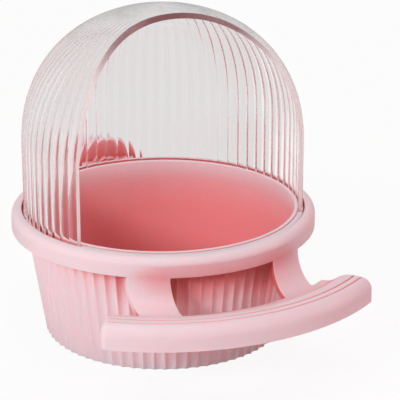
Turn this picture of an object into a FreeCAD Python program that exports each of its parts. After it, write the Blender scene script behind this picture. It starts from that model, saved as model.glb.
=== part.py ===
"""Cage-hung seed feeder: fluted cup, clear fluted hood, collar with a perch, and a rear clamp.

The origin is the centre of the cup's bottom face, +Z is up, the perch is towards -Y and the
clamp towards +Y. Lengths are millimetres and angles degrees.
"""
import FreeCAD, Part
import os
import Sketcher
from math import acos, atan2, cos, degrees, hypot, pi, radians, sin, sqrt
from types import SimpleNamespace

Vector = FreeCAD.Vector
SHEET = "Sizes"

SIZES = (
    ("cup_top_radius", 55.1, "cup under the collar, over the ridges"),
    ("cup_taper", 6.8, "how much smaller the cup's bottom radius is"),
    ("cup_height", 48.0, "cup's bottom to the ledge that carries its flange"),
    ("cup_wall", 2.3, "cup wall at a ridge"),
    ("cup_floor", 2.2, "cup floor"),
    ("cup_corner", 7.0, "round between floor and wall inside the cup"),
    ("flute_count", 72, "flutes round the cup and the hood"),
    ("cup_flute_depth", 1.0, "depth of a flute of the cup"),
    ("flange_width", 1.5, "rim flange of the cup, beyond the ridges"),
    ("flange_thickness", 2.9, "thickness of that flange"),
    ("lip_rise", 0.45, "lip round the cup's mouth, above the flange"),
    ("seat_cut", 1.3, "depth of the groove that the hood stands in"),
    ("seat_margin_angle", 2.0, "run of that groove past the hood's foot"),
    ("fit_gap", 0.3, "radial room between cup, hood, flange and collar"),
    ("collar_rim", 4.1, "collar beyond the room round the flange"),
    ("collar_drop", 4.4, "collar's lower edge below the ledge"),
    ("collar_rise", 3.3, "collar's upper edge above the ledge"),
    ("collar_round", 3.0, "round of the collar's upper edge"),
    ("ledge_wall", 1.8, "thickness of the ledge"),
    ("holder_wall", 2.6, "skin of the collar, straps and perch"),
    ("trough_drop", 15.2, "ledge to the lowest point of a strap's upper side"),
    ("strap_width", 14.4, "width of a strap"),
    ("strap_inset", 1.43, "strap's outer side inside the perch's span, at the collar"),
    ("strap_round", 0.8, "round between a strap's side and the perch"),
    ("perch_reach", 31.7, "collar's face to the perch's front"),
    ("perch_lap", 0.2, "perch's rear wall behind the lowest point of the straps"),
    ("perch_drop", 5.0, "that lowest point to the perch's lower edge"),
    ("crest_rise", 4.5, "that lowest point to the top of the perch"),
    ("crest_depth", 8.2, "flat of the crest and its round, from the front"),
    ("perch_round", 4.7, "round of the perch's front"),
    ("perch_half_angle", 37.5, "half of the perch's span round the cup's axis"),
    ("perch_end_round", 2.5, "round of the edges at the perch's ends"),
    ("grip_width", 1.0, "width of a grip groove on the perch"),
    ("grip_cut", 0.6, "depth of a grip groove"),
    ("grip_setback", 4.6, "first grip groove, from the perch's front"),
    ("grip_pitch", 3.0, "from one grip groove to the next"),
    ("dome_setback", 0.6, "hood's foot inside the flange's rim"),
    ("dome_wall", 1.5, "hood wall at a ridge"),
    ("dome_flute_depth", 0.6, "depth of a flute of the hood"),
    ("dome_skirt", 28.8, "upright part of the hood"),
    ("dome_rise", 53.7, "rise of the hood above that"),
    ("dome_fullness", 2.15, "exponent of the hood's superellipse, 2 is an ellipse"),
    ("crown_radius", 4.0, "flat at the very top, where the flutes end"),
    ("door_half_angle", 58.9, "half of the doorway's width round the hood's axis"),
    ("door_upright", 36.8, "upright part of the doorway's edge"),
    ("door_lean", 22.4, "how far that edge sweeps back above it"),
    ("jaw_radius", 18.0, "plate of the clamp jaw"),
    ("jaw_plate", 2.6, "thickness of that plate"),
    ("jaw_thickness", 7.0, "plate and boss of the jaw together"),
    ("jaw_stand", 1.5, "from the collar's face to the boss"),
    ("jaw_drop", 7.3, "clamp axis below the ledge"),
    ("jaw_round", 1.0, "round of the plate's and the disc's rims"),
    ("boss_radius", 10.2, "boss of the jaw round the bolt's head"),
    ("neck_width", 24.0, "neck between collar and jaw"),
    ("neck_rise", 1.5, "top of the neck above the ledge"),
    ("bolt_radius", 4.0, "bolt's shank"),
    ("bolt_across", 13.0, "bolt head and nut across flats"),
    ("bolt_head", 4.0, "height of the bolt's head"),
    ("bolt_cover", 1.4, "plastic in front of the bolt's head"),
    ("bolt_reach", 29.0, "bolt behind the jaw"),
    ("bolt_chamfer", 0.8, "chamfer of the bolt's tip"),
    ("seat_slack", 0.05, "room round the bolt's head and the nut"),
    ("run_gap", 0.08, "radial room of disc and nut on the bolt"),
    ("bar_gap", 6.0, "from the jaw to the disc, with the clamp open"),
    ("disc_radius", 13.0, "clamp disc"),
    ("disc_thickness", 4.0, "thickness of the disc"),
    ("bar_groove_width", 4.5, "groove for a cage bar in the disc"),
    ("bar_groove_cut", 1.2, "depth of that groove"),
    ("face_gap", 0.2, "from the disc to the knob"),
    ("hub_radius", 10.5, "hub of the knob"),
    ("hub_length", 3.0, "length of the hub"),
    ("knob_radius", 13.0, "knob"),
    ("knob_length", 11.0, "length of the knob's grip"),
    ("knob_round", 2.0, "round of the knob's outer rim"),
    ("scallop_count", 8, "scallops round the knob"),
    ("scallop_radius", 4.5, "radius of a scallop"),
    ("scallop_cut", 2.0, "depth of a scallop"),
    ("nut_height", 6.5, "height of the nut"),
)
DOME_RINGS = 9
NEAR = 1e-6


class Bound:
    """A number together with the sheet expression that it comes from."""

    def __init__(self, value, text):
        self.value = value
        self.text = text

    def __add__(self, other):
        other = bound(other)
        return Bound(self.value + other.value, f"({self.text} + {other.text})")

    def __sub__(self, other):
        other = bound(other)
        return Bound(self.value - other.value, f"({self.text} - {other.text})")

    def __mul__(self, other):
        other = bound(other)
        return Bound(self.value * other.value, f"({self.text} * {other.text})")

    def __truediv__(self, other):
        other = bound(other)
        return Bound(self.value / other.value, f"({self.text} / {other.text})")

    def __neg__(self):
        return Bound(-self.value, f"(0 - {self.text})")


def bound(number):
    """A plain number as a Bound."""
    if isinstance(number, Bound):
        return number
    return Bound(float(number), repr(float(number)))


def root(number):
    """The square root of a Bound."""
    return Bound(sqrt(number.value), f"sqrt({number.text})")


def sine(angle):
    """The sine of a Bound in degrees."""
    return Bound(sin(radians(angle.value)), f"sin({angle.text})")


def cosine(angle):
    """The cosine of a Bound in degrees."""
    return Bound(cos(radians(angle.value)), f"cos({angle.text})")


def make_sheet(doc):
    """Fills the sheet of sizes and hands back its cells as Bounds."""
    sheet = doc.addObject("Spreadsheet::Sheet", SHEET)
    for row, (alias, value, note) in enumerate(SIZES, 1):
        sheet.set(f"A{row}", note)
        sheet.set(f"B{row}", str(value))
        sheet.setAlias(f"B{row}", alias)
    doc.recompute()
    cells = {alias: Bound(float(sheet.get(alias)), f"{SHEET}.{alias}") for alias, value, note in SIZES}
    return SimpleNamespace(**cells)


def follow(size):
    """Adds the sizes that follow from others, so that pieces that meet still meet after a change."""
    ledge = size.cup_height
    size.cup_base_radius = size.cup_top_radius - size.cup_taper
    size.mouth_radius = size.cup_top_radius - size.cup_wall
    size.flange_radius = size.cup_top_radius + size.flange_width
    size.flange_top = ledge + size.flange_thickness
    size.seat_height = size.flange_top - size.seat_cut
    size.dome_radius = size.flange_radius - size.dome_setback
    size.lip_radius = size.dome_radius - size.dome_wall - size.fit_gap
    size.lip_top = size.flange_top + size.lip_rise
    size.dome_spring = size.seat_height + size.dome_skirt
    size.dome_top = size.dome_spring + size.dome_rise
    size.collar_bore = size.flange_radius + size.fit_gap
    size.collar_radius = size.collar_bore + size.collar_rim
    size.collar_bottom = ledge - size.collar_drop
    size.collar_top = ledge + size.collar_rise
    size.trough_height = ledge - size.trough_drop
    size.sweep_radius = size.collar_bottom - size.trough_height
    size.trough_radius = size.collar_radius + size.sweep_radius
    size.perch_radius = size.collar_radius + size.perch_reach
    size.jaw_front = size.collar_radius + size.jaw_stand
    size.jaw_height = ledge - size.jaw_drop


def bind(item, path, number):
    """Ties a property of an object to the sheet."""
    item.setExpression(path, bound(number).text)


def new_body(doc, name):
    """A body whose label names its file."""
    body = doc.addObject("PartDesign::Body", name)
    body.Label = name
    return body


def sketch(body, name, plane, lift=0):
    """An empty sketch on an origin plane of the body, lifted along the plane's normal."""
    drawing = body.newObject("Sketcher::SketchObject", name)
    support = next(item for item in body.Origin.OriginFeatures if item.Role == plane)
    drawing.AttachmentSupport = [(support, "")]
    drawing.MapMode = "FlatFace"
    bind(drawing, "AttachmentOffset.Base.z", lift)
    return drawing


def fix(drawing, kind, number, *place):
    """Adds one dimension to a sketch and ties it to the sheet."""
    number = bound(number)
    index = drawing.addConstraint(Sketcher.Constraint(kind, *place, number.value))
    drawing.setExpression(f"Constraints[{index}]", number.text)


def arc_between(start, end, radius, turn):
    """The short arc between two points that turns to the left (+1) or to the right (-1)."""
    chord = end - start
    across = Vector(-chord.y, chord.x, 0) / chord.Length
    rise = sqrt(max(0.0, radius ** 2 - chord.Length ** 2 / 4))
    middle = (start + end) / 2 + across * rise * turn
    first, last = (start, end) if turn > 0 else (end, start)
    angles = [atan2(point.y - middle.y, point.x - middle.x) for point in (first, last)]
    if angles[1] < angles[0]:
        angles[1] += 2 * pi
    return Part.ArcOfCircle(Part.Circle(middle, Vector(0, 0, 1), radius), *angles)


def outline(drawing, corners):
    """Draws a closed outline with every corner tied to the sheet.

    A corner (x, y) starts a line, and (x, y, radius, turn) starts an arc.
    """
    points = [Vector(bound(corner[0]).value, bound(corner[1]).value, 0) for corner in corners]
    edges = []
    for corner, start, end in zip(corners, points, points[1:] + points[:1]):
        if len(corner) == 2:
            index = drawing.addGeometry(Part.LineSegment(start, end), False)
            edges.append((index, 1, 2))
            continue
        radius, turn = bound(corner[2]), corner[3]
        index = drawing.addGeometry(arc_between(start, end, radius.value, turn), False)
        edges.append((index, 1, 2) if turn > 0 else (index, 2, 1))
        fix(drawing, "Radius", radius, index)
    for (index, first, last), (following, entry, leave) in zip(edges, edges[1:] + edges[:1]):
        drawing.addConstraint(Sketcher.Constraint("Coincident", index, last, following, entry))
    for corner, (index, first, last) in zip(corners, edges):
        fix(drawing, "DistanceX", corner[0], -1, 1, index, first)
        fix(drawing, "DistanceY", corner[1], -1, 1, index, first)


def rectangle(drawing, left, low, right, high):
    """Draws a rectangle."""
    outline(drawing, [(left, low), (right, low), (right, high), (left, high)])


def hexagon(drawing, across, level=0):
    """Draws a level hexagon of a given width across flats, centred on the y axis."""
    reach = across / root(bound(3))
    half = across / 2
    level = bound(level)
    outline(drawing, [
        (reach, level),
        (reach / 2, level + half),
        (-reach / 2, level + half),
        (-reach, level),
        (-reach / 2, level - half),
        (reach / 2, level - half),
    ])


def circle(drawing, radius, x=0, y=0):
    """Draws a circle."""
    x, y, radius = bound(x), bound(y), bound(radius)
    centre = Vector(x.value, y.value, 0)
    index = drawing.addGeometry(Part.Circle(centre, Vector(0, 0, 1), radius.value), False)
    fix(drawing, "Radius", radius, index)
    fix(drawing, "DistanceX", x, -1, 1, index, 3)
    fix(drawing, "DistanceY", y, -1, 1, index, 3)


def towards_front(corners):
    """Turns corners (radius, height) to face the front on the YZ plane."""
    turned = []
    for corner in corners:
        bend = (corner[2], -corner[3]) if len(corner) > 2 else ()
        turned.append((-bound(corner[0]), corner[1]) + bend)
    return turned


def spin(body, kind, name, profile, angle=360):
    """A Revolution or Groove about the vertical axis, centred on its sketch."""
    feature = body.newObject(f"PartDesign::{kind}", name)
    feature.Profile = profile
    feature.ReferenceAxis = (profile, ["V_Axis"])
    feature.Midplane = True
    bind(feature, "Angle", angle)
    return feature


def prism(body, kind, name, profile, length, reverse=False, both_ways=False):
    """A Pad or Pocket of a given length."""
    feature = body.newObject(f"PartDesign::{kind}", name)
    feature.Profile = profile
    feature.Reversed = reverse
    if both_ways:
        feature.SideType = "Symmetric"
    bind(feature, "Length", length)
    return feature


def loft(body, kind, name, rings):
    """An AdditiveLoft or SubtractiveLoft, straight from ring to ring."""
    feature = body.newObject(f"PartDesign::{kind}", name)
    feature.Profile = rings[0]
    feature.Sections = rings[1:]
    feature.Ruled = True
    return feature


def is_rim(edge, radius, axis=Vector(0, 0, 1)):
    """Whether an edge is a circle of a given radius about a line of a given direction."""
    curve = edge.Curve
    if not isinstance(curve, Part.Circle):
        return False
    return abs(curve.Radius - radius.value) < NEAR and abs(curve.Axis.dot(axis)) > 1 - NEAR


def round_edges(body, name, radius, wanted):
    """Fillets the edges that the test picks."""
    body.Document.recompute()
    base = body.Tip
    picked = [f"Edge{number}" for number, edge in enumerate(base.Shape.Edges, 1) if wanted(edge)]
    feature = body.newObject("PartDesign::Fillet", name)
    feature.Base = (base, picked)
    bind(feature, "Radius", radius)
    return feature


def fluted_ring(body, name, count, height, radius, depth):
    """A sketch of concave flutes that meet in sharp ridges, with a flute at the front."""
    drawing = sketch(body, name, "XY_Plane", height)
    step = 2 * pi / count
    for flute in range(count):
        middle = flute * step - pi / 2
        places = ((radius, middle - step / 2), (radius - depth, middle), (radius, middle + step / 2))
        points = [Vector(reach * cos(angle), reach * sin(angle), 0) for reach, angle in places]
        drawing.addGeometry(Part.Arc(*points), False)
    return drawing


def web_corner(middle, side, rear, corner):
    """Both ends of a round, seen from above, between a strap's side and the perch's rear."""
    reach = rear - corner
    ahead = -root(reach * reach - middle * middle)
    return (side, ahead), (middle * rear / reach, ahead * rear / reach)


def bounds_end(edge, half_angle, rear, bottom):
    """Whether an edge runs round an end of the perch, leaving out its lower and rear sides."""
    first, last = edge.FirstParameter, edge.LastParameter
    places = [edge.valueAt(value) for value in (first, (first + last) / 2, last)]
    turns = [abs(degrees(atan2(place.x, -place.y))) for place in places]
    level = all(abs(turn - half_angle) < NEAR for turn in turns)
    above = max(place.z for place in places) > bottom + NEAR
    ahead = max(hypot(place.x, place.y) for place in places) > rear + NEAR
    return level and above and ahead


def make_holder(doc, size):
    """Collar, straps, perch, neck and clamp jaw in one moulding."""
    body = new_body(doc, "perch_holder")
    wall = size.holder_wall
    face = size.collar_radius
    skirt = face - wall
    bore = size.cup_top_radius + size.fit_gap
    ledge = size.cup_height
    ledge_low = ledge - size.ledge_wall

    collar = sketch(body, "collar_section", "XZ_Plane")
    outline(collar, [
        (bore, ledge_low),
        (skirt, ledge_low),
        (skirt, size.collar_bottom),
        (face, size.collar_bottom),
        (face, size.collar_top - size.collar_round, size.collar_round, 1),
        (face - size.collar_round, size.collar_top),
        (size.collar_bore, size.collar_top),
        (size.collar_bore, ledge),
        (bore, ledge),
    ])
    spin(body, "Revolution", "collar", collar)

    sweep = size.sweep_radius
    trough = size.trough_radius
    strap = sketch(body, "strap_section", "YZ_Plane")
    outline(strap, towards_front([
        (face, ledge_low),
        (face, size.collar_bottom, sweep, 1),
        (trough, size.trough_height),
        (trough, size.trough_height - wall, sweep + wall, -1),
        (skirt, size.collar_bottom),
        (skirt, ledge_low),
    ]))
    span = size.perch_half_angle * 2
    spin(body, "Revolution", "strap", strap, span)

    rear = trough - size.perch_lap
    corner = size.strap_round
    outer = face * sine(size.perch_half_angle) - size.strap_inset
    inner = outer - size.strap_width
    gaps = sketch(body, "strap_gaps", "XY_Plane", size.collar_bottom)
    start, end = web_corner(inner - corner, inner, rear, corner)
    outline(gaps, [
        (-inner, 0),
        (inner, 0),
        (*start, corner, -1),
        (*end, rear, -1),
        (-end[0], end[1], corner, -1),
        (-start[0], start[1]),
    ])
    start, end = web_corner(outer + corner, outer, rear, corner)
    outline(gaps, [(outer, 0), (*start, corner, 1), (*end, rear, 1), (rear, 0)])
    outline(gaps, [
        (-outer, 0),
        (-start[0], start[1], corner, -1),
        (-end[0], end[1], rear, -1),
        (-rear, 0),
    ])
    prism(body, "Pocket", "strap_cut", gaps, size.collar_bottom)

    front = size.perch_radius
    bottom = size.trough_height - size.perch_drop
    crest = size.trough_height + size.crest_rise
    bend = size.perch_round
    crest_start = front - size.crest_depth
    half_run = (crest_start - trough) / 2
    half_rise = size.crest_rise / 2
    wave = (half_run * half_run + half_rise * half_rise) / (half_rise * 2)
    middle = (trough + half_run, size.trough_height + half_rise)
    perch = sketch(body, "perch_section", "YZ_Plane")
    outline(perch, towards_front([
        (rear, bottom),
        (rear, size.trough_height),
        (trough, size.trough_height, wave, 1),
        (*middle, wave, -1),
        (crest_start, crest),
        (front - bend, crest, bend, -1),
        (front, crest - bend),
        (front, bottom),
    ]))
    spin(body, "Revolution", "perch", perch, span)
    round_edges(body, "perch_ends", size.perch_end_round,
                lambda edge: bounds_end(edge, size.perch_half_angle.value, rear.value, bottom.value))

    below = bottom - wall
    under_middle = (middle[0] + wall * half_run / wave, middle[1] - wall + wall * half_rise / wave)
    hollow = sketch(body, "perch_hollow_section", "YZ_Plane")
    outline(hollow, towards_front([
        (rear + wall, below),
        (rear + wall, size.trough_height - wall),
        (*under_middle, wave - wall, -1),
        (crest_start, crest - wall),
        (front - bend, crest - wall, bend - wall, -1),
        (front - wall, crest - bend),
        (front - wall, below),
    ]))
    end_wall = wall / rear * degrees(1)
    spin(body, "Groove", "perch_hollow", hollow, span - end_wall * 2)

    grips = sketch(body, "grip_section", "YZ_Plane")
    for setback in (size.grip_setback, size.grip_setback + size.grip_pitch):
        place = front - setback
        half = size.grip_width / 2
        outline(grips, towards_front([
            (place - half, crest),
            (place - half, crest + wall),
            (place + half, crest + wall),
            (place + half, crest),
            (place, crest - size.grip_cut),
        ]))
    spin(body, "Groove", "grip_grooves", grips, span * 2)

    neck = sketch(body, "neck_section", "XZ_Plane", -(face - wall / 2))
    half_neck = size.neck_width / 2
    rectangle(neck, -half_neck, size.collar_bottom, half_neck, ledge + size.neck_rise)
    neck_length = size.jaw_stand + wall / 2 + size.jaw_thickness - size.jaw_plate / 2
    prism(body, "Pad", "neck", neck, neck_length, reverse=True)
    boss = sketch(body, "boss_section", "XZ_Plane", -size.jaw_front)
    circle(boss, size.boss_radius, 0, size.jaw_height)
    prism(body, "Pad", "boss", boss, size.jaw_thickness, reverse=True)
    plate = sketch(body, "jaw_section", "XZ_Plane", -(size.jaw_front + size.jaw_thickness - size.jaw_plate))
    circle(plate, size.jaw_radius, 0, size.jaw_height)
    prism(body, "Pad", "jaw", plate, size.jaw_plate, reverse=True)
    round_edges(body, "jaw_rim", size.jaw_round,
                lambda edge: is_rim(edge, size.jaw_radius, Vector(0, 1, 0)))

    head_place = -(size.jaw_front + size.bolt_cover)
    head = sketch(body, "bolt_head_seat", "XZ_Plane", head_place)
    hexagon(head, size.bolt_across + size.seat_slack * 2, size.jaw_height)
    prism(body, "Pocket", "head_seat", head, size.bolt_head)
    shank = sketch(body, "bolt_shank_seat", "XZ_Plane", head_place)
    circle(shank, size.bolt_radius + size.seat_slack, 0, size.jaw_height)
    prism(body, "Pocket", "shank_seat", shank, size.jaw_thickness)
    return body


def make_cup(doc, size):
    """Fluted cup with a smooth inside, a rim flange and the groove for the hood's foot."""
    body = new_body(doc, "food_cup")
    count = int(size.flute_count.value)
    levels = (
        (bound(0), size.cup_base_radius),
        (size.collar_bottom, size.cup_top_radius),
        (size.cup_height, size.cup_top_radius),
    )
    depth = size.cup_flute_depth.value
    rings = [fluted_ring(body, f"cup_ring_{number}", count, height, radius.value, depth)
             for number, (height, radius) in enumerate(levels)]
    loft(body, "AdditiveLoft", "cup_flutes", rings)

    mouth = size.mouth_radius
    flange = sketch(body, "flange_section", "XZ_Plane")
    outline(flange, [
        (mouth - size.cup_wall, size.cup_height),
        (size.flange_radius, size.cup_height),
        (size.flange_radius, size.flange_top),
        (size.lip_radius, size.flange_top),
        (size.lip_radius, size.lip_top),
        (mouth - size.cup_wall, size.lip_top),
    ])
    spin(body, "Revolution", "flange", flange)

    base = size.cup_base_radius - size.cup_wall
    slope = (mouth - base) / (size.collar_bottom - size.cup_floor)
    slant = root(slope * slope + 1)
    reach = size.cup_corner * (slant - slope)
    above = size.lip_top + size.cup_floor
    inside = sketch(body, "inside_section", "XZ_Plane")
    outline(inside, [
        (0, size.cup_floor),
        (base - reach, size.cup_floor, size.cup_corner, 1),
        (base + reach * slope / slant, size.cup_floor + reach / slant),
        (mouth, size.collar_bottom),
        (mouth, above),
        (0, above),
    ])
    spin(body, "Groove", "inside", inside)

    seat = sketch(body, "hood_seat_section", "YZ_Plane")
    rectangle(seat, size.lip_radius, size.seat_height, size.flange_radius + size.flange_width, above)
    strip = (size.door_half_angle - size.seat_margin_angle) * 2
    spin(body, "Groove", "hood_seat", seat, bound(360) - strip)
    return body


def dome_levels(size, inset):
    """Heights and radii of the hood's closing part, as a superellipse, from the spring line up."""
    radius = size.dome_radius - inset
    rise = size.dome_rise - inset
    power = 2 / size.dome_fullness.value
    crown = (size.crown_radius.value / size.dome_radius.value) ** (1 / power)
    last = acos(crown)
    levels = []
    for ring in range(DOME_RINGS + 1):
        angle = last * ring / DOME_RINGS
        levels.append((size.dome_spring + rise * sin(angle) ** power, radius * cos(angle) ** power))
    return levels


def make_dome(doc, size):
    """Clear hood: fluted outside, smooth inside, with an arched doorway cut from its front."""
    body = new_body(doc, "dome_cover")
    count = int(size.flute_count.value)
    full = size.dome_radius.value
    rings = []
    foot = (size.seat_height, size.dome_radius)
    for number, (height, radius) in enumerate([foot] + dome_levels(size, 0)):
        depth = size.dome_flute_depth.value * radius.value / full
        rings.append(fluted_ring(body, f"dome_ring_{number}", count, height, radius.value, depth))
    loft(body, "AdditiveLoft", "dome_flutes", rings)

    start = (size.seat_height - size.dome_wall, size.dome_radius - size.dome_wall)
    hollows = []
    for number, (height, radius) in enumerate([start] + dome_levels(size, size.dome_wall)):
        drawing = sketch(body, f"hollow_ring_{number}", "XY_Plane", height)
        circle(drawing, radius)
        hollows.append(drawing)
    loft(body, "SubtractiveLoft", "dome_hollow", hollows)

    below = size.seat_height - size.dome_wall
    above = size.dome_top + size.dome_wall
    edge = -(size.dome_radius * cosine(size.door_half_angle))
    turn = size.seat_height + size.door_upright
    climb = above - turn
    lean = size.door_lean
    sweep = (climb * climb + lean * lean) / (lean * 2)
    ahead = -(size.dome_radius + size.dome_wall)
    door = sketch(body, "door_outline", "YZ_Plane")
    outline(door, [
        (ahead, below),
        (edge, below),
        (edge, turn, sweep, -1),
        (edge + lean, above),
        (ahead, above),
    ])
    prism(body, "Pocket", "door", door, size.dome_radius * 3, both_ways=True)
    return body


def on_clamp_axis(body, place, size):
    """Lays a body's own Z axis along the clamp's axis, which points to the rear."""
    body.Placement = FreeCAD.Placement(Vector(), FreeCAD.Rotation(Vector(1, 0, 0), -90))
    bind(body, "Placement.Base.y", place)
    bind(body, "Placement.Base.z", size.jaw_height)


def make_bolt(doc, size, place):
    """Hexagon bolt whose head is moulded into the jaw."""
    body = new_body(doc, "clamp_bolt")
    head = sketch(body, "head_outline", "XY_Plane")
    hexagon(head, size.bolt_across)
    prism(body, "Pad", "head", head, size.bolt_head)
    shank = sketch(body, "shank_outline", "XY_Plane")
    circle(shank, size.bolt_radius)
    length = size.jaw_thickness - size.bolt_cover + size.bolt_reach
    prism(body, "Pad", "shank", shank, length)
    doc.recompute()
    tip = length.value
    rims = [number for number, edge in enumerate(body.Tip.Shape.Edges, 1)
            if is_rim(edge, size.bolt_radius) and abs(edge.CenterOfMass.z - tip) < NEAR]
    base = body.Tip
    chamfer = body.newObject("PartDesign::Chamfer", "tip_chamfer")
    chamfer.Base = (base, [f"Edge{number}" for number in rims])
    bind(chamfer, "Size", size.bolt_chamfer)
    on_clamp_axis(body, place, size)
    return body


def make_disc(doc, size, place):
    """Loose disc on the bolt, with crossed grooves for upright or level cage bars."""
    body = new_body(doc, "clamp_disc")
    rim = sketch(body, "disc_outline", "XY_Plane")
    circle(rim, size.disc_radius)
    circle(rim, size.bolt_radius + size.run_gap)
    prism(body, "Pad", "disc", rim, size.disc_thickness)
    round_edges(body, "disc_rim", size.jaw_round, lambda edge: is_rim(edge, size.disc_radius))
    reach = size.disc_radius * 2
    half = size.bar_groove_width / 2
    for name, wide, high in (("level", reach, half), ("upright", half, reach)):
        groove = sketch(body, f"{name}_groove_outline", "XY_Plane")
        rectangle(groove, -wide, -high, wide, high)
        prism(body, "Pocket", f"{name}_groove", groove, size.bar_groove_cut, reverse=True)
    on_clamp_axis(body, place, size)
    return body


def make_knob(doc, size, place):
    """Scalloped hand knob with a hub that turns on the disc and a pocket for the nut."""
    body = new_body(doc, "clamp_knob")
    hub = sketch(body, "hub_outline", "XY_Plane")
    circle(hub, size.hub_radius)
    prism(body, "Pad", "hub", hub, size.hub_length)
    grip = sketch(body, "grip_outline", "XY_Plane", size.hub_length)
    circle(grip, size.knob_radius)
    prism(body, "Pad", "grip", grip, size.knob_length)
    round_edges(body, "grip_rim", size.knob_round, lambda edge: is_rim(edge, size.knob_radius))
    scallop = sketch(body, "scallop_outline", "XY_Plane", size.hub_length)
    circle(scallop, size.scallop_radius, size.knob_radius + size.scallop_radius - size.scallop_cut)
    cut = prism(body, "Pocket", "scallop", scallop, size.knob_length, reverse=True)
    doc.recompute()
    pattern = body.newObject("PartDesign::PolarPattern", "scallops")
    pattern.Originals = [cut]
    pattern.Axis = (scallop, ["N_Axis"])
    pattern.Angle = 360
    bind(pattern, "Occurrences", size.scallop_count)
    body.Tip = pattern
    doc.recompute()
    pocket = sketch(body, "nut_pocket_outline", "XY_Plane")
    hexagon(pocket, size.bolt_across + size.seat_slack * 2)
    prism(body, "Pocket", "nut_pocket", pocket, size.nut_height, reverse=True)
    bore = sketch(body, "bore_outline", "XY_Plane")
    circle(bore, size.bolt_radius + size.fit_gap)
    prism(body, "Pocket", "bore", bore, size.hub_length + size.knob_length, reverse=True)
    on_clamp_axis(body, place, size)
    return body


def make_nut(doc, size, place):
    """Hexagon nut that fills the knob's pocket and runs on the bolt."""
    body = new_body(doc, "knob_nut")
    section = sketch(body, "nut_outline", "XY_Plane")
    hexagon(section, size.bolt_across)
    circle(section, size.bolt_radius + size.run_gap)
    prism(body, "Pad", "nut", section, size.nut_height)
    on_clamp_axis(body, place, size)
    return body


def check(doc, bodies):
    """Stops if any object failed or any body isn't one valid solid."""
    for item in doc.Objects:
        if "Invalid" in item.State or "Error" in item.State:
            raise RuntimeError(f"{item.Name} failed: {item.State}")
    for body in bodies:
        shape = body.Shape
        if shape.isNull() or not shape.isValid() or len(shape.Solids) != 1:
            raise RuntimeError(f"{body.Label} isn't one valid solid")


def main():
    """Builds the document, checks it and writes one STEP file for each body."""
    doc = FreeCAD.newDocument("cage_feeder")
    size = make_sheet(doc)
    follow(size)
    disc_place = size.jaw_front + size.jaw_thickness + size.bar_gap
    knob_place = disc_place + size.disc_thickness + size.face_gap
    bodies = [
        make_holder(doc, size),
        make_cup(doc, size),
        make_dome(doc, size),
        make_bolt(doc, size, size.jaw_front + size.bolt_cover),
        make_disc(doc, size, disc_place),
        make_knob(doc, size, knob_place),
        make_nut(doc, size, knob_place),
    ]
    doc.recompute()
    check(doc, bodies)
    os.makedirs("parts", exist_ok=True)
    for body in bodies:
        body.Shape.exportStep(os.path.join("parts", f"{body.Label}.step"))
        box = body.Shape.BoundBox
        print(body.Label, round(body.Shape.Volume), [round(value, 2) for value in
              (box.XMin, box.YMin, box.ZMin, box.XMax, box.YMax, box.ZMax)])


main()
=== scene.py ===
# %% [markdown]
# # A cage-hung seed feeder, dressed in Blender
#
# The feeder is a fluted pink cup under a clear fluted hood. A collar carries the cup and reaches
# forward with two straps to a curved perch, and a screw clamp at the rear holds a cage wall. The
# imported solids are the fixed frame: they say where everything sits. This lesson keeps the solids
# whose shape is already right, models anew the pieces that need finer forms, and gives every
# surface a finish made of nodes.

# %% Load the frame
import math

import bmesh
import bpy
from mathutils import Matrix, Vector


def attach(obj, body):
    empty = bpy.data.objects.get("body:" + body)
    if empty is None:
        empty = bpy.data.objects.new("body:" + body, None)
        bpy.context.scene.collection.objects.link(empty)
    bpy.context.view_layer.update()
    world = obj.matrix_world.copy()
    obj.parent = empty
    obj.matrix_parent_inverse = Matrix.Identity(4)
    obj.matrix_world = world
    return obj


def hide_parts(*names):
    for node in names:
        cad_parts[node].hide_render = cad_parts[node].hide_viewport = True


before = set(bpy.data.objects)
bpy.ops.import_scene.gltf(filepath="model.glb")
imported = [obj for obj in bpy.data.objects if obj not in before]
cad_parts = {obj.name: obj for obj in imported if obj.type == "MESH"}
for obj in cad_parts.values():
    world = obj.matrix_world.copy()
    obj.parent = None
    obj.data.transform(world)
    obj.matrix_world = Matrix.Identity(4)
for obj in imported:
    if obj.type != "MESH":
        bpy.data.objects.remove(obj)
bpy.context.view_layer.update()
MM = 0.001

# %% [markdown]
# ## The camera
#
# The picture was taken from a little above and from the left of the front. A long lens keeps the
# rims of cup and collar as flat as they look there. The height, heading and tilt below come from
# fitting those rims, so they are typed in and not aimed at the object by a constraint.

# %% Set up the camera
CAMERA_DISTANCE = 700 * MM
CAMERA_AZIMUTH = math.radians(-22.75)
CAMERA_HEIGHT = 307.83 * MM
CAMERA_HEADING = math.radians(23.96)
CAMERA_TILT = math.radians(20.04)
SENSOR = 36.0
FOCAL_PIXELS = 1852.35
IMAGE_PIXELS = 400

bpy.ops.object.camera_add(
    location=(
        CAMERA_DISTANCE * math.sin(CAMERA_AZIMUTH),
        -CAMERA_DISTANCE * math.cos(CAMERA_AZIMUTH),
        CAMERA_HEIGHT,
    ),
    rotation=(math.pi / 2 - CAMERA_TILT, 0, -CAMERA_HEADING),
)
camera = bpy.context.object
camera.data.sensor_width = SENSOR
camera.data.lens = SENSOR * FOCAL_PIXELS / IMAGE_PIXELS
bpy.context.scene.camera = camera
print("lens:", round(camera.data.lens, 1), "mm")

# %% [markdown]
# ## Node maths in plain Python
#
# A finish is a small network of nodes. Wiring each one by hand hides the idea, so one class wraps
# a node's output and overloads the signs of arithmetic: a sum of two signals adds a Math node.
# Every other node comes from one method that takes its type, its settings and its inputs.

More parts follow.
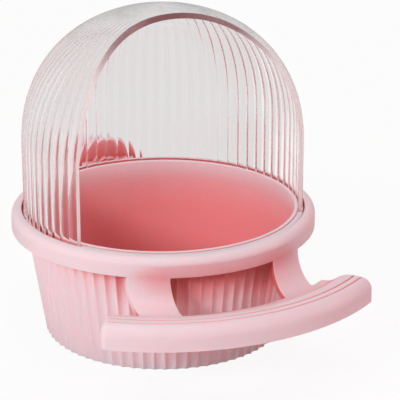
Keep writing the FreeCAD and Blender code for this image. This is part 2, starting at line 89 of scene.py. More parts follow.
# %% Wrap the sockets
class Signal:
    """A node's output, which adds a Math node for each sum that it is used in."""

    def __init__(self, tree, socket):
        self.tree = tree
        self.socket = socket

    def maths(self, operation, first, second):
        return self.tree.node("ShaderNodeMath", {"operation": operation}, {0: first, 1: second})

    def __add__(self, other):
        return self.maths("ADD", self, other)

    def __sub__(self, other):
        return self.maths("SUBTRACT", self, other)

    def __rsub__(self, other):
        return self.maths("SUBTRACT", other, self)

    def __mul__(self, other):
        return self.maths("MULTIPLY", self, other)

    def __or__(self, other):
        """The larger of two signals."""
        return self.maths("MAXIMUM", self, other)

    __radd__ = __add__
    __rmul__ = __mul__
    __ror__ = __or__

    def twin(self, output):
        """Another output of the same node."""
        return Signal(self.tree, self.socket.node.outputs[output])


class Tree:
    """A node tree that starts empty."""

    def __init__(self, owner):
        owner.use_nodes = True
        self.tree = owner.node_tree
        self.tree.nodes.clear()

    def node(self, kind, settings=None, sockets=None, output=0):
        """Adds a node, sets it up, fills its inputs with values or signals and returns one output."""
        made = self.tree.nodes.new(kind)
        for name, value in (settings or {}).items():
            if name == "stops":
                self.set_stops(made.color_ramp, value)
            else:
                setattr(made, name, value)
        for name, value in (sockets or {}).items():
            if isinstance(value, Signal):
                self.tree.links.new(value.socket, made.inputs[name])
            else:
                made.inputs[name].default_value = value
        return Signal(self, made.outputs[output]) if made.outputs else None

    @staticmethod
    def set_stops(ramp, stops):
        """Gives a colour ramp its stops, each a place and a colour."""
        while len(ramp.elements) < len(stops):
            ramp.elements.new(1.0)
        for element, (place, colour) in zip(ramp.elements, stops):
            element.position = place
            element.color = (*colour, 1.0)

    def place(self):
        """Object coordinates, which stay with the piece."""
        return self.node("ShaderNodeTexCoord", None, None, "Object")

    def noise(self, place, scale, detail=2.0):
        """Soft noise from 0 to 1 with a given number of lumps in a metre."""
        return self.node("ShaderNodeTexNoise", None, {"Vector": place, "Scale": scale, "Detail": detail})

    def share(self, value, low, high):
        """0 up to a low value, 1 from a high one, and even between them."""
        return self.node("ShaderNodeMapRange", None, {0: value, 1: low, 2: high})

    def ramp(self, value, stops):
        """The colour that a ramp has at a value."""
        return self.node("ShaderNodeValToRGB", {"stops": stops}, {0: value})

    def blend(self, share, first, second):
        """A colour between two others."""
        colours = [value if isinstance(value, Signal) else (*value, 1) for value in (first, second)]
        return self.node("ShaderNodeMix", {"data_type": "RGBA"}, {0: share, 6: colours[0], 7: colours[1]}, 2)


print("node maths ready")

# %% [markdown]
# ## The room
#
# A plain pale studio shows the moulded forms best. It could be lit so brightly that it turns white,
# but that would wash out the plastic, so the room only looks white to the camera, and that white
# adds no light to the feeder. Clear plastic is drawn by what it mirrors and bends into view. For the
# rays that it sends on, the room has soft bands of white and light grey, as panels round a table
# give, at both sides of one fixed line across the room. A ray passes many faces of the fluted hood,
# so the limit on its bounces is raised. Otherwise the deepest flutes would turn black.

# %% Lay out the room
WHITE = (1.0, 1.0, 1.0)
BLACK = (0.0, 0.0, 0.0)
MIRROR_DIM = 0.45
ROOM_LINE = math.radians(23.96)
QUARTER_TURN = 90
FAR_TONES = (
    (0, 0.77), (18, 0.77), (22, 1.0), (27, 0.66), (33, 1.0),
    (40, 0.6), (48, 1.0), (60, 0.75), (90, 0.75),
)
NEAR_TONES = ((0, 0.77), (20, 0.77), (26, 1.0), (55, 1.0), (70, 0.8), (90, 0.8))
LIGHT_BOUNCES = 32


def ray_kinds(tree):
    """1 for rays from the camera, from mirroring surfaces, and from mirroring or clear ones."""
    camera_rays = tree.node("ShaderNodeLightPath", None, None, "Is Camera Ray")
    clear_rays = camera_rays.twin("Is Transmission Ray")
    mirror_rays = (camera_rays.twin("Is Glossy Ray") - clear_rays) | 0.0
    return camera_rays, mirror_rays, mirror_rays | clear_rays


def room_tone(tree, direction, tones):
    """The room's tone in a direction, by its angle in degrees from the line across the room."""
    line = (math.sin(ROOM_LINE), math.cos(ROOM_LINE), 0)
    level = tree.node("ShaderNodeVectorMath", {"operation": "MULTIPLY"}, {0: direction, 1: (1, 1, 0)})
    heading = tree.node("ShaderNodeVectorMath", {"operation": "NORMALIZE"}, {0: level})
    along = tree.node("ShaderNodeVectorMath", {"operation": "DOT_PRODUCT"}, {0: heading, 1: line}, "Value")
    either_side = tree.node("ShaderNodeMath", {"operation": "ABSOLUTE"}, {0: along})
    turn = tree.node("ShaderNodeMath", {"operation": "ARCCOSINE"}, {0: either_side})
    stops = [(degrees / QUARTER_TURN, (tone, tone, tone)) for degrees, tone in tones]
    return tree.ramp(turn * (1 / math.radians(QUARTER_TURN)), stops)


scene = bpy.context.scene
scene.view_settings.view_transform = "Standard"
scene.cycles.max_bounces = LIGHT_BOUNCES
scene.cycles.transmission_bounces = LIGHT_BOUNCES
scene.cycles.glossy_bounces = LIGHT_BOUNCES
print("room tones:", len(FAR_TONES), "far,", len(NEAR_TONES), "near")

# %% [markdown]
# ## Floor and world
#
# The floor is a chalky sheet. To the camera it glows almost white and keeps a faint shadow, and the
# light that it throws back at the feeder is slightly pink, as it is near a pink thing. Close to the
# feeder its bands are plainer than further out. The world adds an even light with no direction.

# %% Lay the floor
FLOOR_SIZE = 6.0
FLOOR_GLOW = 0.9
FLOOR_PALE = (0.88, 0.88, 0.88)
FLOOR_BOUNCE = (0.85, 0.72, 0.72)
NEAR_FLOOR = 260 * MM
FAR_FLOOR = 340 * MM

bpy.ops.object.select_all(action="DESELECT")
bpy.ops.mesh.primitive_plane_add(size=FLOOR_SIZE)
floor = bpy.context.object
floor.name = "floor"
floor_finish = bpy.data.materials.new("pale_floor")
tree = Tree(floor_finish)
from_camera, from_mirror, from_gloss = ray_kinds(tree)
chalk = tree.node(
    "ShaderNodeBsdfDiffuse", None, {"Color": tree.blend(from_camera, FLOOR_BOUNCE, FLOOR_PALE)})
place = tree.place()
reach = tree.node("ShaderNodeVectorMath", {"operation": "LENGTH"}, {0: place}, "Value")
distant = tree.share(reach, NEAR_FLOOR, FAR_FLOOR)
tone = tree.blend(distant, room_tone(tree, place, NEAR_TONES), room_tone(tree, place, FAR_TONES))
dimmed = tree.blend(from_mirror * MIRROR_DIM, tone, BLACK)
glow = tree.node(
    "ShaderNodeEmission", None, {"Color": tree.blend(from_gloss, WHITE, dimmed), "Strength": 1.0})
sheet = tree.node(
    "ShaderNodeMixShader", None, {0: from_camera * FLOOR_GLOW + from_gloss, 1: chalk, 2: glow})
tree.node("ShaderNodeOutputMaterial", None, {"Surface": sheet})
floor.data.materials.append(floor_finish)
floor.visible_shadow = False
print("floor:", FLOOR_SIZE, "m wide")

# %% Fill the world
WORLD_LIGHT = 0.31
WORLD_TINT = (1.0, 0.88, 0.87)

world = bpy.data.worlds.new("studio")
scene.world = world
tree = Tree(world)
from_camera, from_mirror, from_gloss = ray_kinds(tree)
tone = room_tone(tree, tree.node("ShaderNodeTexCoord", None, None, "Generated"), FAR_TONES)
even = tree.node("ShaderNodeBackground", None, {"Color": (*WORLD_TINT, 1), "Strength": WORLD_LIGHT})
panels = tree.node("ShaderNodeBackground", None, {
    "Color": tree.blend(from_mirror * MIRROR_DIM, tone, BLACK), "Strength": 1.0})
white = tree.node("ShaderNodeBackground", None, {"Color": (*WHITE, 1), "Strength": 1.0})
around = tree.node("ShaderNodeMixShader", None, {0: from_gloss, 1: even, 2: panels})
backdrop = tree.node("ShaderNodeMixShader", None, {0: from_camera, 1: around, 2: white})
tree.node("ShaderNodeOutputWorld", None, {"Surface": backdrop})
print("world light:", WORLD_LIGHT)

# %% [markdown]
# ## Lamps
#
# A small key lamp from the left models the flutes and leaves the right side in shade. A warm fill
# from the right stands for the light that pink walls throw at each other. A broad lamp above opens
# the cup, and one behind keeps the rear from looking dull. No lamp is seen through the hood, and key
# and rear lamp aren't mirrored either, because a hard white spot would hide the flutes.

# %% Hang the lamps
LAMP_AIM = Vector((0, 0, 60 * MM))
FILL_TINT = (1.0, 0.52, 0.50)
TOP_TINT = (1.0, 0.92, 0.91)
LAMPS = {
    "key_lamp": {"place": (-0.935, -0.54, 0.52), "size": 0.25, "watts": 7.7, "mirrored": False},
    "fill_lamp": {"place": (1.6, -0.72, 0.55), "size": 0.7, "watts": 8.7, "colour": FILL_TINT},
    "top_lamp": {"place": (-0.1, -0.1, 1.0), "size": 0.6, "watts": 3.0, "colour": TOP_TINT},
    "rear_lamp": {"place": (0.55, 1.0, 0.75), "size": 0.5, "watts": 4.0, "mirrored": False},
}


def soft_lamp(name, place, size, watts, colour=WHITE, mirrored=True):
    """A square lamp that faces the middle of the feeder."""
    aim = LAMP_AIM - Vector(place)
    bpy.ops.object.light_add(
        type="AREA", location=place, rotation=aim.to_track_quat("-Z", "Y").to_euler())
    lamp = bpy.context.object
    lamp.name = name
    lamp.data.size = size
    lamp.data.energy = watts
    lamp.data.color = colour
    lamp.visible_camera = False
    lamp.visible_transmission = False
    lamp.visible_glossy = mirrored


for name, facts in LAMPS.items():
    soft_lamp(name, **facts)
print("lamps:", ", ".join(LAMPS))

# %% [markdown]
# ## Pink moulded plastic
#
# Cup, collar, perch and clamp are one pale pink, semi-gloss and milky. Red light goes further into
# it than green and blue, so shaded places turn a deeper pink instead of grey. Where pink walls face
# each other, the shade between them is painted into the colour: a node that measures how open each
# place is picks a painted shade, from red in the nooks to pale pink outside. Inside the cup all walls
# face each other, so the inside has a painted shade range of its own. A very fine grain from the
# mould breaks up the shine, and the edges are rounded a little, as no mould gives sharp ones.

# %% Choose the pinks
PINK = (0.77, 0.65, 0.695)
# The three deeper pinks below are painted shade, for places that are less open and for the inside of the
# cup.
PINK_PAINTED_SHADE = (0.80, 0.30, 0.32)
PINK_PAINTED_NOOK_SHADE = (0.58, 0.12, 0.12)
PINK_PAINTED_INSIDE_SHADE = (0.73, 0.25, 0.26)
OUTSIDE_PAINTED_SHADES = ((0.48, PINK_PAINTED_NOOK_SHADE), (0.68, PINK_PAINTED_SHADE), (0.77, PINK))
INSIDE_PAINTED_SHADES = ((0.38, PINK_PAINTED_INSIDE_SHADE), (0.52, PINK_PAINTED_SHADE), (0.70, PINK))
WALL_MIDDLE = 46.5 * MM
WALL_SLOPE = 0.16
NOOK_REACH = 100 * MM
NOOK_SAMPLES = 16


def pink_with_painted_shade(tree, place):
    """Pink with painted shade, by how open a place is and whether it lies within the middle of the cup's
    wall.
    """
    openness = tree.node(
        "ShaderNodeAmbientOcclusion", {"samples": NOOK_SAMPLES}, {"Distance": NOOK_REACH}, "AO")
    height = tree.node("ShaderNodeSeparateXYZ", None, {0: place}, "Z")
    level = tree.node("ShaderNodeVectorMath", {"operation": "MULTIPLY"}, {0: place, 1: (1, 1, 0)})
    reach = tree.node("ShaderNodeVectorMath", {"operation": "LENGTH"}, {0: level}, "Value")
    inside = tree.node(
        "ShaderNodeMath", {"operation": "LESS_THAN"}, {0: reach, 1: height * WALL_SLOPE + WALL_MIDDLE})
    return tree.blend(inside, tree.ramp(openness, OUTSIDE_PAINTED_SHADES), tree.ramp(openness, INSIDE_PAINTED_SHADES))


print("pinks outside:", len(OUTSIDE_PAINTED_SHADES), "inside:", len(INSIDE_PAINTED_SHADES))

# %% Mix the pink plastic
PLASTIC_IOR = 1.49
EDGE_ROUND = 0.35 * MM
EDGE_SAMPLES = 4
GRAIN_LUMPS = 2400.0
GRAIN_DETAIL = 1.0
GRAIN_DEPTH = 0.2 * MM
GRAIN_STRENGTH = 0.05
SHINE_LUMPS = 38.0
SHINE_DRIFT = 0.1
SHINE_ROUGHNESS = 0.45
MILKINESS = 0.6
MILK_SPREAD = (1.0, 0.3, 0.28)
MILK_DEPTH = 4 * MM


def pink_plastic():
    """Milky pink plastic with a fine mould grain."""
    finish = bpy.data.materials.new("milky_pink")
    tree = Tree(finish)
    place = tree.place()
    rounded = tree.node("ShaderNodeBevel", {"samples": EDGE_SAMPLES}, {"Radius": EDGE_ROUND})
    grain = tree.node("ShaderNodeBump", None, {
        "Strength": GRAIN_STRENGTH,
        "Distance": GRAIN_DEPTH,
        "Height": tree.noise(place, GRAIN_LUMPS, GRAIN_DETAIL),
        "Normal": rounded,
    })
    plastic = tree.node("ShaderNodeBsdfPrincipled", None, {
        "Base Color": pink_with_painted_shade(tree, place),
        "Roughness": tree.noise(place, SHINE_LUMPS) * SHINE_DRIFT + SHINE_ROUGHNESS,
        "Normal": grain,
        "IOR": PLASTIC_IOR,
        "Subsurface Weight": MILKINESS,
        "Subsurface Radius": MILK_SPREAD,
        "Subsurface Scale": MILK_DEPTH,
    })
    tree.node("ShaderNodeOutputMaterial", None, {"Surface": plastic})
    return finish


pink = pink_plastic()
print("mixed", pink.name)

# %% [markdown]
# ## Clear hood plastic
#
# The hood is polished clear plastic. A real wall with two faces bends what is behind it, and each
# flute works as a small lens, so the streaks come from the shape and aren't painted. Light that the
# walls throw at each other has to pass it, so for those rays the plastic is simply see-through and
# takes a little of the light. The edge of the doorway isn't polished: its posts are pale, and on its
# arch the pink light that the wall guides up from the cup is painted, as a brownish line.

# %% Measure the doorway
HOOD_RADIUS = 56.0 * MM
HOOD_WALL = 1.5 * MM
HOOD_SPRING = 78.4 * MM
HOOD_RISE = 53.7 * MM
SEAT = 49.6 * MM
DOOR_HALF_ANGLE = math.radians(58.9)
DOOR_EDGE = -HOOD_RADIUS * math.cos(DOOR_HALF_ANGLE)
DOOR_UPRIGHT = 36.8 * MM
DOOR_TURN = SEAT + DOOR_UPRIGHT
DOOR_TOP = HOOD_SPRING + HOOD_RISE + HOOD_WALL
DOOR_LEAN = 22.4 * MM
DOOR_CLIMB = DOOR_TOP - DOOR_TURN
DOOR_SWEEP = (DOOR_CLIMB ** 2 + DOOR_LEAN ** 2) / (2 * DOOR_LEAN)
EDGE_TOLERANCE = 0.12 * MM
ARCH_START = 24 * MM
ARCH_FULL = 38 * MM


def door_edge(tree, place):
    """1 on the doorway's cut face, and a share for painted light that grows from its posts to its arch."""
    height = tree.node("ShaderNodeSeparateXYZ", None, {0: place}, "Z")
    depth = height.twin("Y") - (DOOR_EDGE + DOOR_SWEEP)
    climb = (height - DOOR_TURN) | 0.0
    reach = tree.node("ShaderNodeMath", {"operation": "SQRT"}, {0: depth * depth + climb * climb})
    on_edge = tree.node(
        "ShaderNodeMath", {"operation": "COMPARE"}, {0: reach, 1: DOOR_SWEEP, 2: EDGE_TOLERANCE})
    return on_edge, tree.share(climb, ARCH_START, ARCH_FULL)


print("doorway sweep:", round(DOOR_SWEEP / MM, 1), "mm")

# %% Mix the clear plastic
HOOD_CLEAR = (0.99, 0.99, 0.99, 1)
LIGHT_LEFT = (0.90, 0.90, 0.90, 1)
POLISH_LUMPS = 90.0
POLISH_DRIFT = 0.03
POLISH_ROUGHNESS = 0.01
# The arch's brownish colour is painted light: the pink that the wall guides up from the cup.
ARCH_PAINTED_LIGHT = (0.24, 0.09, 0.10)
POST_TINT = (0.82, 0.74, 0.75)
FROST = 0.8
FROST_ROUGHNESS = 0.35


def clear_plastic():
    """Polished clear plastic that lets stray light through, frosted round the doorway, with painted light on
    its arch.
    """
    finish = bpy.data.materials.new("polished_clear")
    tree = Tree(finish)
    place = tree.place()
    polished = tree.node("ShaderNodeBsdfPrincipled", None, {
        "Base Color": HOOD_CLEAR,
        "Roughness": tree.noise(place, POLISH_LUMPS) * POLISH_DRIFT + POLISH_ROUGHNESS,
        "IOR": PLASTIC_IOR,
        "Transmission Weight": 1.0,
    })
    edge, arch = door_edge(tree, place)
    # Pale frost on the posts, and painted light on the arch.
    frost_and_painted_arch = tree.node("ShaderNodeBsdfPrincipled", None, {
        "Base Color": tree.blend(arch, POST_TINT, ARCH_PAINTED_LIGHT), "Roughness": FROST_ROUGHNESS})
    body = tree.node("ShaderNodeMixShader", None, {0: edge * FROST, 1: polished, 2: frost_and_painted_arch})
    open_air = tree.node("ShaderNodeBsdfTransparent", None, {"Color": LIGHT_LEFT})
    diffuse_rays = tree.node("ShaderNodeLightPath", None, None, "Is Diffuse Ray")
    surface = tree.node("ShaderNodeMixShader", None, {0: diffuse_rays, 1: body, 2: open_air})
    tree.node("ShaderNodeOutputMaterial", None, {"Surface": surface})
    return finish


clear = clear_plastic()
print("mixed", clear.name)

# %% [markdown]
# ## Zinc-plated steel
#
# Bolt and nut are ordinary plated fasteners: bright grey, with a fine directionless mottle from
# the plating bath and a roughness that wanders with it.

# %% Mix the steel
ZINC_DARK = (0.50, 0.50, 0.52)
ZINC_BRIGHT = (0.70, 0.70, 0.71)
MOTTLE_LUMPS = 900.0
MOTTLE_DETAIL = 3.0
MOTTLE_DRIFT = 0.18
ZINC_ROUGHNESS = 0.2


def plated_steel():
    """Bright zinc plate with a faint mottle."""
    finish = bpy.data.materials.new("plated_steel")
    tree = Tree(finish)
    mottle = tree.noise(tree.place(), MOTTLE_LUMPS, MOTTLE_DETAIL)
    metal = tree.node("ShaderNodeBsdfPrincipled", None, {
        "Base Color": tree.blend(mottle, ZINC_DARK, ZINC_BRIGHT),
        "Metallic": 1.0,
        "Roughness": mottle * MOTTLE_DRIFT + ZINC_ROUGHNESS,
    })
    tree.node("ShaderNodeOutputMaterial", None, {"Surface": metal})
    return finish


steel = plated_steel()
print("mixed", steel.name)

# %% [markdown]
# ## Rings that grow into shells
#
# Cup and hood are both round shells with the same seventy-two flutes. They could be sculpted or
# cut, but a potter's way is shorter: start from one ring of points, extrude it row by row along the
# section, and scale each row to its radius. Where the flutes begin, the points between two ridges
# are pulled inwards once, and every later row inherits them.

# %% Tools for growing shells
FLUTES = 72
STEPS = 8


def start_ring(name, radius, height):
    """A closed ring with its middle filled, left in edit mode with its edges selected."""
    bpy.ops.object.select_all(action="DESELECT")
    bpy.ops.mesh.primitive_circle_add(
        vertices=FLUTES * STEPS, radius=radius, fill_type="NGON", location=(0, 0, height))
    piece = bpy.context.object
    piece.name = name
    bpy.ops.object.transform_apply(location=True, rotation=True, scale=True)
    bpy.ops.object.mode_set(mode="EDIT")
    bpy.ops.mesh.select_mode(type="EDGE")
    bpy.ops.mesh.select_all(action="SELECT")
    return piece


def grow(rows, radius, height):
    """Extrudes the selected ring through rows of (radius, height) and returns the last one."""
    for next_radius, next_height in rows:
        bpy.ops.mesh.extrude_edges_move(
            TRANSFORM_OT_translate={"value": (0, 0, next_height - height)})
        share = next_radius / radius
        bpy.ops.transform.resize(value=(share, share, 1), center_override=(0, 0, 0))
        radius, height = next_radius, next_height
    return radius, height


def select_corners(piece, numbers):
    """Selects only the given corners."""
    bpy.ops.mesh.select_mode(type="VERT")
    bpy.ops.mesh.select_all(action="DESELECT")
    mesh = bmesh.from_edit_mesh(piece.data)
    mesh.verts.ensure_lookup_table()
    for number in numbers:
        mesh.verts[number].select = True
    mesh.select_flush_mode()
    bmesh.update_edit_mesh(piece.data)


def press_flutes(piece, radius, depth):
    """Scales the points of the selected ring inwards between the ridges."""
    step_angle = 2 * math.pi / (FLUTES * STEPS)
    ring = {}
    for corner in bmesh.from_edit_mesh(piece.data).verts:
        if corner.select:
            turn = round(math.atan2(corner.co.x, -corner.co.y) / step_angle) % STEPS
            ring.setdefault(min(turn, STEPS - turn), []).append(corner.index)
    for step in range(STEPS // 2):
        share = 1 - depth / radius * (1 - (2 * step / STEPS) ** 2)
        select_corners(piece, ring[step])
        bpy.ops.transform.resize(value=(share, share, 1), center_override=(0, 0, 0))
    select_corners(piece, sum(ring.values(), []))
    bpy.ops.mesh.select_mode(type="EDGE")


def close_ring():
    """Fills the selected ring and turns all faces outwards."""
    bpy.ops.mesh.edge_face_add()
    bpy.ops.mesh.select_all(action="SELECT")
    bpy.ops.mesh.normals_make_consistent(inside=False)


print("shell tools ready:", FLUTES, "flutes of", STEPS, "steps")

# %% [markdown]
# ## Finishing a piece
#
# Every moulded or turned edge is slightly round, and light catches on it. A Bevel modifier rounds
# the sharp edges only, and corners that it leaves on top of each other are merged. Then the piece is
# shaded smoothly up to its sharp edges, and it gets its finish and its place in the frame.

# %% Tools for finishing pieces
SOFT_EDGE = 0.2 * MM
SOFT_SEGMENTS = 2
SHARP_ANGLE = math.radians(50)
SMOOTH_ANGLE = math.radians(30)
MERGE_GAP = 0.001 * MM
NEAR_ENOUGH = 0.01 * MM


def make_active(piece):
    """Selects one piece only."""
    bpy.ops.object.select_all(action="DESELECT")
    piece.select_set(True)
    bpy.context.view_layer.objects.active = piece


def soften(piece, width=SOFT_EDGE):
    """Rounds the sharp edges of a piece."""
    make_active(piece)
    rounding = piece.modifiers.new("soft_edges", "BEVEL")
    rounding.width = width
    rounding.segments = SOFT_SEGMENTS
    rounding.limit_method = "ANGLE"
    rounding.angle_limit = SHARP_ANGLE
    bpy.ops.object.modifier_apply(modifier=rounding.name)
    bpy.ops.object.mode_set(mode="EDIT")
    bpy.ops.mesh.select_all(action="SELECT")
    bpy.ops.mesh.remove_doubles(threshold=MERGE_GAP)
    bpy.ops.object.mode_set(mode="OBJECT")


def smooth(piece):
    """Shades a piece smoothly except across sharp edges."""
    make_active(piece)
    bpy.ops.object.shade_smooth_by_angle(angle=SMOOTH_ANGLE)


def pick_edges(piece, wanted):
    """Selects only the edges whose middle passes the test."""
    mesh = bmesh.from_edit_mesh(piece.data)
    bpy.ops.mesh.select_mode(type="EDGE")
    bpy.ops.mesh.select_all(action="DESELECT")
    for edge in mesh.edges:
        edge.select = wanted((edge.verts[0].co + edge.verts[1].co) / 2)
    mesh.select_flush_mode()
    bmesh.update_edit_mesh(piece.data)


def hand_over(piece, finish, body, node):
    """Gives a finished piece its finish and its place in the frame."""
    piece.data.materials.append(finish)
    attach(piece, body)
    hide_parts(node)
    print(piece.name, "faces:", len(piece.data.polygons))


print("finishing tools ready")

# %% [markdown]
# ## The food cup
#
# The cup is smooth inside, with a rounded corner above its floor, and fluted outside. Its rim is a
# thin raised lip beside a flat flange. Behind the doorway the flange is a step lower, which is the
# groove that the hood stands in, so the front strip is lifted at the end.

# %% Grow the cup
CUP_FLOOR = 2.2 * MM
CUP_BASE = 48.3 * MM
CUP_TOP = 55.1 * MM
CUP_WALL = 2.3 * MM
CUP_CORNER = 7.0 * MM
CUP_FLUTE = 1.0 * MM
COLLAR_BOTTOM = 43.6 * MM
LEDGE = 48.0 * MM
STRIP_RISE = 1.3 * MM
LIP_RADIUS = 54.2 * MM
LIP_TOP = 51.35 * MM
FLANGE = 56.6 * MM
STRIP_GAP = math.radians(2)
STRIP_HALF_ANGLE = DOOR_HALF_ANGLE - STRIP_GAP
CORNER_STEPS = 8

mouth = CUP_TOP - CUP_WALL
base = CUP_BASE - CUP_WALL
slope = (mouth - base) / (COLLAR_BOTTOM - CUP_FLOOR)
flat = base - CUP_CORNER * (math.hypot(1, slope) - slope)
corner_turn = math.pi / 2 - math.atan(slope)
inside = []
for step in range(1, CORNER_STEPS + 1):
    angle = -math.pi / 2 + corner_turn * step / CORNER_STEPS
    inside.append((flat + CUP_CORNER * math.cos(angle), CUP_FLOOR + CUP_CORNER * (1 + math.sin(angle))))
inside += [(mouth, COLLAR_BOTTOM), (mouth, LIP_TOP), (LIP_RADIUS, LIP_TOP), (LIP_RADIUS, SEAT),
           (FLANGE, SEAT), (FLANGE, LEDGE), (CUP_TOP, LEDGE)]
outside = [(CUP_TOP, COLLAR_BOTTOM), (CUP_BASE, 0.0)]

cup = start_ring("fluted_cup", flat, CUP_FLOOR)
last = grow(inside, flat, CUP_FLOOR)
press_flutes(cup, CUP_TOP, CUP_FLUTE)
grow(outside, *last)
close_ring()
print("cup corners:", len(bmesh.from_edit_mesh(cup.data).verts))

# %% Lift the strip in front of the doorway
mesh = bmesh.from_edit_mesh(cup.data)
bpy.ops.mesh.select_mode(type="FACE")
bpy.ops.mesh.select_all(action="DESELECT")
for face in mesh.faces:
    middle = face.calc_center_median()
    reach = math.hypot(middle.x, middle.y)
    level = abs(middle.z - SEAT) < NEAR_ENOUGH and LIP_RADIUS < reach < FLANGE
    face.select = level and abs(math.atan2(middle.x, -middle.y)) < STRIP_HALF_ANGLE
bmesh.update_edit_mesh(cup.data)
bpy.ops.mesh.extrude_region_move(TRANSFORM_OT_translate={"value": (0, 0, STRIP_RISE)})
bpy.ops.object.mode_set(mode="OBJECT")
soften(cup)
smooth(cup)
hand_over(cup, pink, "cup", "food_cup")

# %% [markdown]
# ## The hood
#
# The hood rises straight from the cup's rim and closes in a full round, with flutes outside that
# run together at the crown. It is grown like the cup, from the crown inside, down to the foot, and
# up again outside. The doorway is one sweep through the shell: upright at first and then leaning
# back, so a curved cutter is extruded and spun, and taken away. Clear plastic hardly casts a shadow,
# so the hood's is switched off, and the lamps reach the cup.

# %% Grow the hood
HOOD_FULLNESS = 2.15
HOOD_FLUTE = 0.6 * MM
CROWN = 4.0 * MM
HOOD_ROWS = 30
SKIRT_ROWS = 4


def hood_rows(inset):
    """Rows of the closing part as a superellipse, from the spring line to the crown."""
    power = 2 / HOOD_FULLNESS
    last = math.acos((CROWN / HOOD_RADIUS) ** (1 / power))
    rows = []
    for row in range(HOOD_ROWS + 1):
        angle = last * row / HOOD_ROWS
        rows.append(((HOOD_RADIUS - inset) * math.cos(angle) ** power,
                     HOOD_SPRING + (HOOD_RISE - inset) * math.sin(angle) ** power))
    return rows


inner = list(reversed(hood_rows(HOOD_WALL)))
skirt = [(HOOD_RADIUS, SEAT + (HOOD_SPRING - SEAT) * row / SKIRT_ROWS) for row in range(1, SKIRT_ROWS)]
hood = start_ring("clear_hood", *inner[0])
last = grow(inner[1:] + [(HOOD_RADIUS - HOOD_WALL, SEAT), (HOOD_RADIUS, SEAT)], *inner[0])
press_flutes(hood, HOOD_RADIUS, HOOD_FLUTE)
grow(skirt + hood_rows(0), *last)
close_ring()
bpy.ops.object.mode_set(mode="OBJECT")
print("hood faces before the doorway:", len(hood.data.polygons))

# %% Shape the cutter for the doorway
DOOR_BELOW = 40 * MM
DOOR_AHEAD = -70 * MM
DOOR_HALF = 70 * MM
DOOR_STEPS = 48

bpy.ops.object.select_all(action="DESELECT")
bpy.ops.mesh.primitive_plane_add(
    size=1, location=(0, (DOOR_EDGE + DOOR_AHEAD) / 2, DOOR_BELOW))
cutter = bpy.context.object
cutter.scale = (2 * DOOR_HALF, DOOR_EDGE - DOOR_AHEAD, 1)
bpy.ops.object.transform_apply(location=True, rotation=True, scale=True)
bpy.ops.object.mode_set(mode="EDIT")
pick_edges(cutter, lambda place: abs(place.y - DOOR_EDGE) < NEAR_ENOUGH)
bpy.ops.mesh.extrude_edges_move(TRANSFORM_OT_translate={"value": (0, 0, DOOR_TURN - DOOR_BELOW)})
bpy.ops.mesh.spin(
    steps=DOOR_STEPS, angle=math.asin(DOOR_CLIMB / DOOR_SWEEP),
    center=(0, DOOR_EDGE + DOOR_SWEEP, DOOR_TURN), axis=(1, 0, 0))
print("cutter sweeps back", round(DOOR_LEAN / MM, 1), "mm")

# %% Close the cutter
pick_edges(cutter, lambda place: abs(place.y - DOOR_AHEAD) < NEAR_ENOUGH)
bpy.ops.mesh.extrude_edges_move(TRANSFORM_OT_translate={"value": (0, 0, DOOR_TOP - DOOR_BELOW)})
pick_edges(cutter, lambda place: abs(place.z - DOOR_TOP) < NEAR_ENOUGH)
bpy.ops.mesh.edge_face_add()
bpy.ops.mesh.select_all(action="SELECT")
bpy.ops.mesh.remove_doubles(threshold=MERGE_GAP)
bpy.ops.mesh.select_all(action="DESELECT")
bpy.ops.mesh.select_non_manifold()
bpy.ops.mesh.edge_face_add()
bpy.ops.mesh.select_all(action="SELECT")
bpy.ops.mesh.fill_holes(sides=0)
bpy.ops.mesh.normals_make_consistent(inside=False)
bpy.ops.object.mode_set(mode="OBJECT")
print("cutter faces:", len(cutter.data.polygons))

# %% Cut the doorway
make_active(hood)
doorway = hood.modifiers.new("doorway", "BOOLEAN")
doorway.operation = "DIFFERENCE"
doorway.solver = "EXACT"
doorway.object = cutter
bpy.ops.object.modifier_apply(modifier=doorway.name)
bpy.data.objects.remove(cutter)
soften(hood)
smooth(hood)
hood.visible_shadow = False
hand_over(hood, clear, "hood", "dome_cover")

# %% [markdown]
# ## The bolt
#
# A real M8 bolt has a thread, which the solid leaves out. A Screw modifier winds a small trapezium
# round the axis, 1.25 mm further with each turn, and its two ends are closed. The shank is only as
# thick as the thread's root, with a chamfered tip, and the head is the hexagon that the jaw is
# moulded round.

# %% Draw the thread's section
PITCH = 1.25 * MM
THREAD_ROOT = 3.3 * MM
THREAD_SINK = 0.3 * MM
THREAD_CREST = 3.97 * MM
THREAD_FOOT_WIDTH = 1.16 * PITCH
THREAD_CREST_WIDTH = 0.16 * PITCH
THREAD_TURNS = 22
THREAD_STEPS = 32
BOLT_FRONT = 63.9 * MM
BOLT_TIP = 98.5 * MM
BOLT_HEIGHT = 40.7 * MM
TIP_PLAIN = 1.0 * MM
THREAD_START = BOLT_TIP - BOLT_FRONT - TIP_PLAIN - (THREAD_TURNS + 0.5) * PITCH

foot = THREAD_ROOT - THREAD_SINK
section_middle = ((foot + THREAD_CREST) / 2, 0, THREAD_START)
bpy.ops.object.select_all(action="DESELECT")
bpy.ops.mesh.primitive_plane_add(size=1, location=section_middle, rotation=(math.pi / 2, 0, 0))
thread = bpy.context.object
thread.name = "thread"
thread.scale = (THREAD_CREST - foot, THREAD_FOOT_WIDTH, 1)
bpy.ops.object.transform_apply(location=True, rotation=True, scale=True)
bpy.ops.object.mode_set(mode="EDIT")
pick_edges(thread, lambda place: abs(place.x - THREAD_CREST) < NEAR_ENOUGH)
bpy.ops.transform.resize(
    value=(1, 1, THREAD_CREST_WIDTH / THREAD_FOOT_WIDTH), center_override=section_middle)
bpy.ops.mesh.select_all(action="SELECT")
bpy.ops.mesh.delete(type="ONLY_FACE")
bpy.ops.object.mode_set(mode="OBJECT")
print("thread section corners:", len(thread.data.vertices))

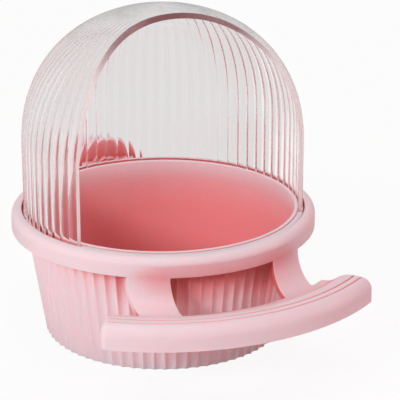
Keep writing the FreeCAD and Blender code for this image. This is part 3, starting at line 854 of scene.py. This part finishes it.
# %% Wind the thread
winding = thread.modifiers.new("winding", "SCREW")
winding.axis = "Z"
winding.angle = 2 * math.pi
winding.screw_offset = PITCH
winding.iterations = THREAD_TURNS
winding.steps = THREAD_STEPS
winding.render_steps = THREAD_STEPS
bpy.ops.object.modifier_apply(modifier=winding.name)
bpy.ops.object.mode_set(mode="EDIT")
bpy.ops.mesh.select_all(action="SELECT")
bpy.ops.mesh.fill_holes(sides=4)
bpy.ops.mesh.normals_make_consistent(inside=False)
bpy.ops.object.mode_set(mode="OBJECT")
print("thread faces:", len(thread.data.polygons))

# %% Add shank and head
BOLT_RADIUS = 4.0 * MM
HEAD_ACROSS = 13.0 * MM
HEAD_HEIGHT = 4.0 * MM
HEAD_SIDES = 6
HEAD_CHAMFER = 0.25 * MM
PLAIN_LENGTH = 5.6 * MM
TIP_CHAMFER = 0.6 * MM
ROUND_SIDES = 64


def rod(name, sides, radius, low, high):
    """An upright prism on the axis between two heights."""
    bpy.ops.object.select_all(action="DESELECT")
    bpy.ops.mesh.primitive_cylinder_add(
        vertices=sides, radius=radius, depth=high - low, location=(0, 0, (low + high) / 2))
    piece = bpy.context.object
    piece.name = name
    bpy.ops.object.transform_apply(location=True, rotation=True, scale=True)
    return piece


shank = rod("shank", ROUND_SIDES, THREAD_ROOT, 0.0, BOLT_TIP - BOLT_FRONT)
soften(shank, TIP_CHAMFER)
plain = rod("plain_shank", ROUND_SIDES, BOLT_RADIUS, 0.0, PLAIN_LENGTH)
soften(plain)
head = rod("head", HEAD_SIDES, HEAD_ACROSS / math.sqrt(3), 0.0, HEAD_HEIGHT)
soften(head, HEAD_CHAMFER)
make_active(shank)
for piece in (thread, plain, head):
    piece.select_set(True)
bpy.ops.object.join()
bolt = bpy.context.object
bolt.name = "threaded_bolt"
bolt.rotation_euler = (-math.pi / 2, 0, 0)
bolt.location = (0, BOLT_FRONT, BOLT_HEIGHT)
bpy.ops.object.transform_apply(location=True, rotation=True, scale=True)
smooth(bolt)
hand_over(bolt, steel, "holder", "clamp_bolt")

# %% [markdown]
# ## Solids that stay
#
# The holder, the disc, the knob and the nut already have their final shape in the frame, with true
# arcs and rounds. They only change their plain colour for the finishes above.

# %% Dress the solids
KEPT_SOLIDS = {"perch_holder": pink, "clamp_disc": pink, "clamp_knob": pink, "knob_nut": steel}

for name, finish in KEPT_SOLIDS.items():
    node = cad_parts[name]
    node.data.materials.clear()
    node.data.materials.append(finish)
print("dressed:", ", ".join(KEPT_SOLIDS))
